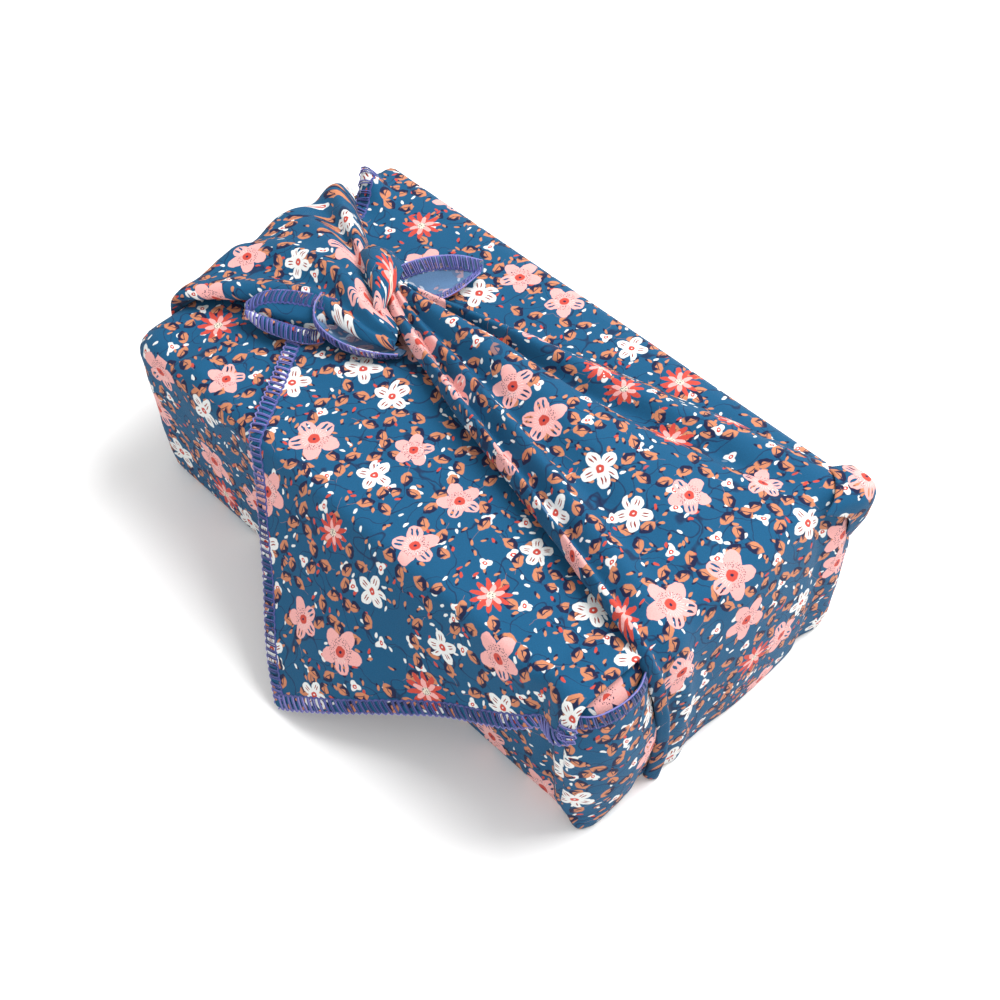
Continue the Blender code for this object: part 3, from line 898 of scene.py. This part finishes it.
# small white buds with a coral heart
def budLayer(n, p, colour):
    c = printColours
    d = cellPlace(n, n.vector("ADD", p, (13, 29, 0)), printPlan["buds"], 0.85, 0.7)
    lobe = n.math("ADD", 1.9, n.math("MULTIPLY", 0.55, n.math("COSINE", n.math("MULTIPLY", d["a"], 3))))
    keep = n.step(d["chance"][2], 0.7, 0.001)
    colour = n.mix(n.both(n.step(d["r"], lobe, 0.15), keep), colour, c["white"])
    colour = n.mix(n.both(ellipse(n, d["x"], d["y"], 0.2, 0, 0.95, 0.7, 0.2), keep), colour, c["coral"])
    colour = n.mix(n.both(ellipse(n, d["x"], d["y"], 0.2, 0, 0.35, 0.3, 0.3), keep), colour, c["white"])
    return colour


# leaves in twos and threes
def leafLayer(n, p, colour):
    c = printColours
    d = cellPlace(n, n.vector("ADD", p, (71, 5, 0)), printPlan["leaves"], 0.6, 0.25)
    x, y, number = petalFold(n, d, 3, 0.4)
    chance = petalChance(n, number, d["chance"], 5.0)
    t = n.math("DIVIDE", n.math("SUBTRACT", x, 0.8), 6.4)
    belly = n.math("SINE", n.math("MULTIPLY", n.math("MINIMUM", n.math("MAXIMUM", t, 0.0), 1.0),
    math.pi))
    wide = n.math("MULTIPLY", 2.0, n.math("POWER", belly, 0.75))
    leaf = n.both(n.step(n.math("ABSOLUTE", y), wide, 0.12), n.step(chance, 0.9, 0.001))
    keep = n.step(d["chance"][2], 0.93, 0.001)
    leaf = n.both(leaf, keep)
    wave = n.math("MULTIPLY", 0.5, n.math("SINE", n.math("MULTIPLY", x, 2.1)))
    shade = n.step(n.math("ADD", y, wave), -0.25, 0.1)
    base = n.step(t, 0.2, 0.06)
    shadeMask = n.math("MAXIMUM", n.both(shade, n.step(t, 0.72, 0.05)), base)
    vein = n.both(n.step(n.math("ABSOLUTE", n.math("SUBTRACT", y, 0.35)), 0.14, 0.08),
    n.step(t, 0.75, 0.04))
    leafTone = n.mix(n.math("MAXIMUM", shadeMask, vein), c["tan"], c["navy"])
    colour = n.mix(leaf, colour, leafTone)
    return colour


# pink flower
def pinkFlowers(n, d, pick, colour, spots):
    c = printColours
    isPink = n.step(pick, 0.42, 0.0005)
    x, y, number = petalFold(n, d, 5)
    chance = petalChance(n, number, d["chance"], 1.0)
    length = n.math("ADD", 3.3, n.math("MULTIPLY", chance, 0.9))
    petal = ellipse(n, x, y, 4.5, 0, length, 2.75, 0.07)
    petal = n.math("MAXIMUM", petal, n.step(d["r"], 3.2, 0.1))
    tear = n.math("MAXIMUM", ellipse(n, x, y, 5.6, 0.85, 1.5, 0.42, 0.25),
                  ellipse(n, x, y, 5.6, -0.85, 1.5, 0.42, 0.25))
    tear = n.both(tear, n.step(chance, 0.45, 0.001))
    specks = n.both(n.step(spots.outputs["Distance"], 0.22, 0.06),
                    n.both(n.step(d["r"], 4.6, 0.1), n.step(n.math("SUBTRACT", 9.0, d["r"]), 6.6, 0.1)))
    specks = n.both(specks, n.step(n.math("SUBTRACT", 1.0, chance), 0.6, 0.001))
    tone = n.mix(specks, c["pink"], c["navy"])
    rays = n.both(n.step(n.math("ABSOLUTE", n.math("SINE", n.math("MULTIPLY", d["a"], 13))), 0.22, 0.1),
                  n.both(n.step(d["r"], 3.9, 0.2), n.step(chance, 0.5, 0.001)))
    tone = n.mix(rays, tone, c["white"])
    pinkMask = n.both(petal, isPink)
    colour = n.mix(n.both(pinkMask, n.math("SUBTRACT", 1.0, tear)), colour, tone)
    colour = n.mix(n.both(n.step(d["r"], 1.9, 0.12), isPink), colour, c["coral"])
    colour = n.mix(n.both(n.step(d["r"], 0.5, 0.12), isPink), colour, c["navy"])
    return colour


# white flower
def whiteFlowers(n, d, pick, colour):
    c = printColours
    isWhite = n.both(n.step(n.math("SUBTRACT", 1.0, pick), 0.58, 0.0005), n.step(pick, 0.76, 0.0005))
    x, y, number = petalFold(n, d, 4.5, 0.3)
    chance = petalChance(n, number, d["chance"], 2.0)
    length = n.math("ADD", 2.6, n.math("MULTIPLY", chance, 0.6))
    petal = n.math("MAXIMUM", ellipse(n, x, y, 3.7, 0, length, 2.15, 0.08), n.step(d["r"], 2.3, 0.1))
    streak = n.math("MAXIMUM", ellipse(n, x, y, 3.9, 0.55, 1.15, 0.24, 0.35),
                    ellipse(n, x, y, 3.9, -0.5, 1.2, 0.24, 0.35))
    tone = n.mix(streak, c["white"], c["brown"])
    colour = n.mix(n.both(petal, isWhite), colour, tone)
    colour = n.mix(n.both(n.step(d["r"], 1.35, 0.12), isWhite), colour, c["coral"])
    colour = n.mix(n.both(n.step(d["r"], 0.35, 0.1), isWhite), colour, c["white"])
    return colour


# daisy
def daisies(n, d, pick, colour, spots):
    c = printColours
    isDaisy = n.step(n.math("SUBTRACT", 1.0, pick), 0.24, 0.0005)
    points = n.math("ABSOLUTE", n.math("COSINE", n.math("MULTIPLY", d["a"], 5.5)))
    edge = n.math("ADD", 3.4, n.math("MULTIPLY", 3.9, n.math("POWER", points, 1.3)))
    colour = n.mix(n.both(n.step(d["r"], edge, 0.12), isDaisy), colour, c["coral"])
    points = n.math("ABSOLUTE", n.math("COSINE", n.math("ADD", n.math("MULTIPLY", d["a"], 3), 0.7)))
    edge = n.math("ADD", 1.5, n.math("MULTIPLY", 3.3, n.math("POWER", points, 1.6)))
    colour = n.mix(n.both(n.step(d["r"], edge, 0.12), isDaisy), colour, c["pink"])
    colour = n.mix(n.both(n.step(d["r"], 1.5, 0.2), isDaisy), colour, c["cream"])
    speckle = n.both(n.step(spots.outputs["Distance"], 0.25, 0.06), n.step(d["r"], 1.7, 0.1))
    colour = n.mix(n.both(speckle, isDaisy), colour, c["navy"])
    return colour


def ditsyPrint():
    group = bpy.data.node_groups.new("ditsyPrint", "ShaderNodeTree")
    group.interface.new_socket("Cloth mm", in_out="INPUT", socket_type="NodeSocketVector")
    group.interface.new_socket("Color", in_out="OUTPUT", socket_type="NodeSocketColor")
    n = Nodes(group)
    source = n.add("NodeGroupInput").outputs[0]
    result = n.add("NodeGroupOutput")

    # hand-drawn wobble
    wobble = n.add("ShaderNodeTexNoise", noise_dimensions="2D")
    n.plug(wobble.inputs["Vector"], source)
    wobble.inputs["Scale"].default_value = 0.42
    wobble.inputs["Detail"].default_value = 1.5
    centred = n.vector("SUBTRACT", wobble.outputs["Color"], (0.5, 0.5, 0.5))
    shift = n.vector("SCALE", centred, scale=printPlan["wobble"])
    p = n.vector("ADD", source, shift)

    colour = printColours["ground"]
    for layer in (stemLayer, dashLayer, budLayer, leafLayer):
        colour = layer(n, p, colour)

    # the three flowers share one set of places
    d = cellPlace(n, n.vector("ADD", p, (33, 87, 0)), printPlan["flowers"], 0.55, 0.15)
    pick = d["chance"][1]
    size = n.math("ADD", 0.86, n.math("MULTIPLY", d["chance"][2], 0.26))
    d["r"] = n.math("DIVIDE", d["r"], size)
    spots = n.add("ShaderNodeTexVoronoi", voronoi_dimensions="2D")
    n.plug(spots.inputs["Vector"], p)
    spots.inputs["Scale"].default_value = 1.4
    colour = pinkFlowers(n, d, pick, colour, spots)
    colour = whiteFlowers(n, d, pick, colour)
    colour = daisies(n, d, pick, colour, spots)
    n.plug(result.inputs[0], colour)
    return group


# Plain weave: a fine height and a slight unevenness of colour.
def weaveGroup():
    group = bpy.data.node_groups.new("plainWeave", "ShaderNodeTree")
    group.interface.new_socket("Cloth mm", in_out="INPUT", socket_type="NodeSocketVector")
    group.interface.new_socket("Height", in_out="OUTPUT", socket_type="NodeSocketFloat")
    group.interface.new_socket("Grain", in_out="OUTPUT", socket_type="NodeSocketFloat")
    n = Nodes(group)
    source = n.add("NodeGroupInput").outputs[0]
    result = n.add("NodeGroupOutput")
    split = n.add("ShaderNodeSeparateXYZ")
    n.plug(split.inputs[0], source)
    pitch = 2 * math.pi / 0.5
    warp = n.math("SINE", n.math("MULTIPLY", split.outputs[0], pitch))
    weft = n.math("SINE", n.math("MULTIPLY", split.outputs[1], pitch))
    over = n.math("MULTIPLY", warp, weft)
    noise = n.add("ShaderNodeTexNoise", noise_dimensions="2D")
    n.plug(noise.inputs["Vector"], source)
    noise.inputs["Scale"].default_value = 2.2
    noise.inputs["Detail"].default_value = 3.0
    n.plug(result.inputs["Height"], n.math("ADD", n.math("MULTIPLY", over, 0.5), noise.outputs["Fac"]))
    n.plug(result.inputs["Grain"], noise.outputs["Fac"])
    return group


clothFinish = {"roughness": 0.82, "specular": 0.25, "sheen": 0.04, "sheenRoughness": 0.5, "bump": 0.35,
               "bumpDepth": 0.0003,
               "wrongSideFade": 0.55, "wrongSideColour": (120, 150, 188),
               "darkest": 0.70, "grain": 0.28}


def clothMaterial(name, printGroup, weave, wrongSide):
    material, n, shader = newMaterial(name)
    uv = n.add("ShaderNodeUVMap", uv_map="cloth")
    flat = n.vector("SCALE", uv.outputs[0], scale=1 / uvScale)
    pattern = n.add("ShaderNodeGroup", node_tree=printGroup)
    n.plug(pattern.inputs[0], flat)
    threadsNode = n.add("ShaderNodeGroup", node_tree=weave)
    n.plug(threadsNode.inputs[0], flat)
    colour = pattern.outputs[0]
    if wrongSide:
        colour = n.mix(clothFinish["wrongSideFade"], colour, srgb(*clothFinish["wrongSideColour"]))
    grain = n.math("MULTIPLY", threadsNode.outputs["Grain"], clothFinish["grain"])
    grain = n.math("ADD", clothFinish["darkest"], grain)
    shade = n.add("ShaderNodeCombineColor")
    for socket in shade.inputs:
        n.plug(socket, grain)
    mul = n.add("ShaderNodeMix", data_type="RGBA", blend_type="MULTIPLY")
    mul.inputs[0].default_value = 1.0
    n.plug(mul.inputs[6], colour)
    n.plug(mul.inputs[7], shade.outputs[0])
    n.plug(shader.inputs["Base Color"], mul.outputs[2])
    shader.inputs["Roughness"].default_value = clothFinish["roughness"]
    shader.inputs["Specular IOR Level"].default_value = clothFinish["specular"]
    shader.inputs["Sheen Weight"].default_value = clothFinish["sheen"]
    shader.inputs["Sheen Roughness"].default_value = clothFinish["sheenRoughness"]
    addBump(n, shader, threadsNode.outputs["Height"], clothFinish["bump"], clothFinish["bumpDepth"])
    return material


threadFinish = {"dark": (36, 44, 108), "middle": (74, 82, 156), "pale": (138, 130, 196), "roughness": 0.6,
                "sheen": 0.2, "fibreScale": 2500, "bump": 0.4, "bumpDepth": 0.0002}


def threadMaterial():
    material, n, shader = newMaterial("overlockThread")
    tone = n.add("ShaderNodeAttribute", attribute_name="tone")
    ramps = n.add("ShaderNodeValToRGB")
    elements = ramps.color_ramp.elements
    elements[0].position, elements[0].color = 0.0, srgb(*threadFinish["dark"])
    elements[1].position, elements[1].color = 1.0, srgb(*threadFinish["pale"])
    middle = elements.new(0.5)
    middle.color = srgb(*threadFinish["middle"])
    n.plug(ramps.inputs[0], tone.outputs["Fac"])
    n.plug(shader.inputs["Base Color"], ramps.outputs[0])
    shader.inputs["Roughness"].default_value = threadFinish["roughness"]
    shader.inputs["Sheen Weight"].default_value = threadFinish["sheen"]
    fibre = n.add("ShaderNodeTexNoise")
    coord = n.add("ShaderNodeTexCoord")
    n.plug(fibre.inputs["Vector"], coord.outputs["Object"])
    fibre.inputs["Scale"].default_value = threadFinish["fibreScale"]
    addBump(n, shader, fibre.outputs["Fac"], threadFinish["bump"], threadFinish["bumpDepth"])
    return material


cartonFinish = {"dark": (170, 140, 104), "pale": (190, 160, 122), "fibreScale": 400, "roughness": 0.8}


def cartonMaterial():
    material, n, shader = newMaterial("carton")
    noise = n.add("ShaderNodeTexNoise")
    coord = n.add("ShaderNodeTexCoord")
    n.plug(noise.inputs["Vector"], coord.outputs["Object"])
    noise.inputs["Scale"].default_value = cartonFinish["fibreScale"]
    board = n.mix(noise.outputs["Fac"], srgb(*cartonFinish["dark"]), srgb(*cartonFinish["pale"]))
    n.plug(shader.inputs["Base Color"], board)
    shader.inputs["Roughness"].default_value = cartonFinish["roughness"]
    return material


cameraSettings = {"azimuth": 49.05, "elevation": 52.08, "roll": -3.97, "distance": 2.650, "right": 0.0236,
                  "up": 0.0443, "lens": 57.3, "bundleLength": 232}


def makeCamera():
    length = cameraSettings["bundleLength"] * mm
    az, el, roll = (math.radians(cameraSettings[k]) for k in ("azimuth", "elevation", "roll"))
    back = np.array([math.sin(az) * math.cos(el), -math.cos(az) * math.cos(el), math.sin(el)])
    right = np.array([math.cos(az), math.sin(az), 0])
    up = np.cross(back, right)
    right, up = (math.cos(roll) * right + math.sin(roll) * up, -math.sin(roll) * right + math.cos(roll) * up)
    place = back * cameraSettings["distance"]
    place = (place + right * cameraSettings["right"] + up * cameraSettings["up"]) * length
    data = bpy.data.cameras.new("camera")
    data.lens = cameraSettings["lens"]
    data.sensor_width = 36
    camera = placeObject("camera", data)
    turn = mathutils.Matrix((right, up, back)).transposed().to_4x4()
    camera.matrix_world = mathutils.Matrix.Translation(place) @ turn
    bpy.context.scene.camera = camera


def areaLight(name, place, target, size, power):
    data = bpy.data.lights.new(name, "AREA")
    data.shape = "SQUARE"
    data.size = size
    data.energy = power
    light = placeObject(name, data)
    light.location = place
    direction = mathutils.Vector(target) - mathutils.Vector(place)
    light.rotation_euler = direction.to_track_quat("-Z", "Y").to_euler()


studio = {
    "floorHalf": 3.0,
    "floorColour": (0.92, 0.92, 0.915, 1),
    "floorRoughness": 0.9,
    "skyStrength": 0.75,
    "aim": (0, 0, 0.03),
    "keyLight": {"place": (0.3, 0.5, 1.0), "size": 0.6, "power": 17},
    "fillLight": {"place": (0.5, -0.8, 0.6), "size": 0.9, "power": 2.5},
}


def makeStage():
    half = studio["floorHalf"]
    mesh = bpy.data.meshes.new("floor")
    mesh.from_pydata([(-half, -half, 0), (half, -half, 0), (half, half, 0),
                      (-half, half, 0)], [], [(0, 1, 2, 3)])
    floor = placeObject("floor", mesh)
    material, _, shader = newMaterial("paleFloor")
    shader.inputs["Base Color"].default_value = studio["floorColour"]
    shader.inputs["Roughness"].default_value = studio["floorRoughness"]
    mesh.materials.append(material)
    world = bpy.data.worlds.new("studio")
    world.use_nodes = True
    world.node_tree.nodes["Background"].inputs[0].default_value = (1, 1, 1, 1)
    world.node_tree.nodes["Background"].inputs[1].default_value = studio["skyStrength"]
    bpy.context.scene.world = world
    for name in ("keyLight", "fillLight"):
        lamp = studio[name]
        areaLight(name, lamp["place"], studio["aim"], lamp["size"], lamp["power"])
    bpy.context.scene.view_settings.view_transform = "Standard"


makeCamera()
for build in (buildWalls, buildFlap, buildFan, buildStrand, buildKnot):
    build()
    print(build.__name__, cloth["count"], "cloth points")
buildFlapHem()
buildTailHems()
print("hem stitched", threadMesh["count"], "points")

printGroup, weave = ditsyPrint(), weaveGroup()
wrapCloth = makeCloth()
wrapCloth.data.materials.append(clothMaterial("printedCotton", printGroup, weave, False))
wrapCloth.data.materials.append(clothMaterial("printedCottonWrongSide", printGroup, weave, True))
hemThreads = makeThreads()
hemThreads.data.materials.append(threadMaterial())
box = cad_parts["box"]
for slotItem in box.material_slots:
    slotItem.material = cartonMaterial()

for piece in (wrapCloth, hemThreads):
    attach(piece, "root")
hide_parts("wrap")
makeStage()
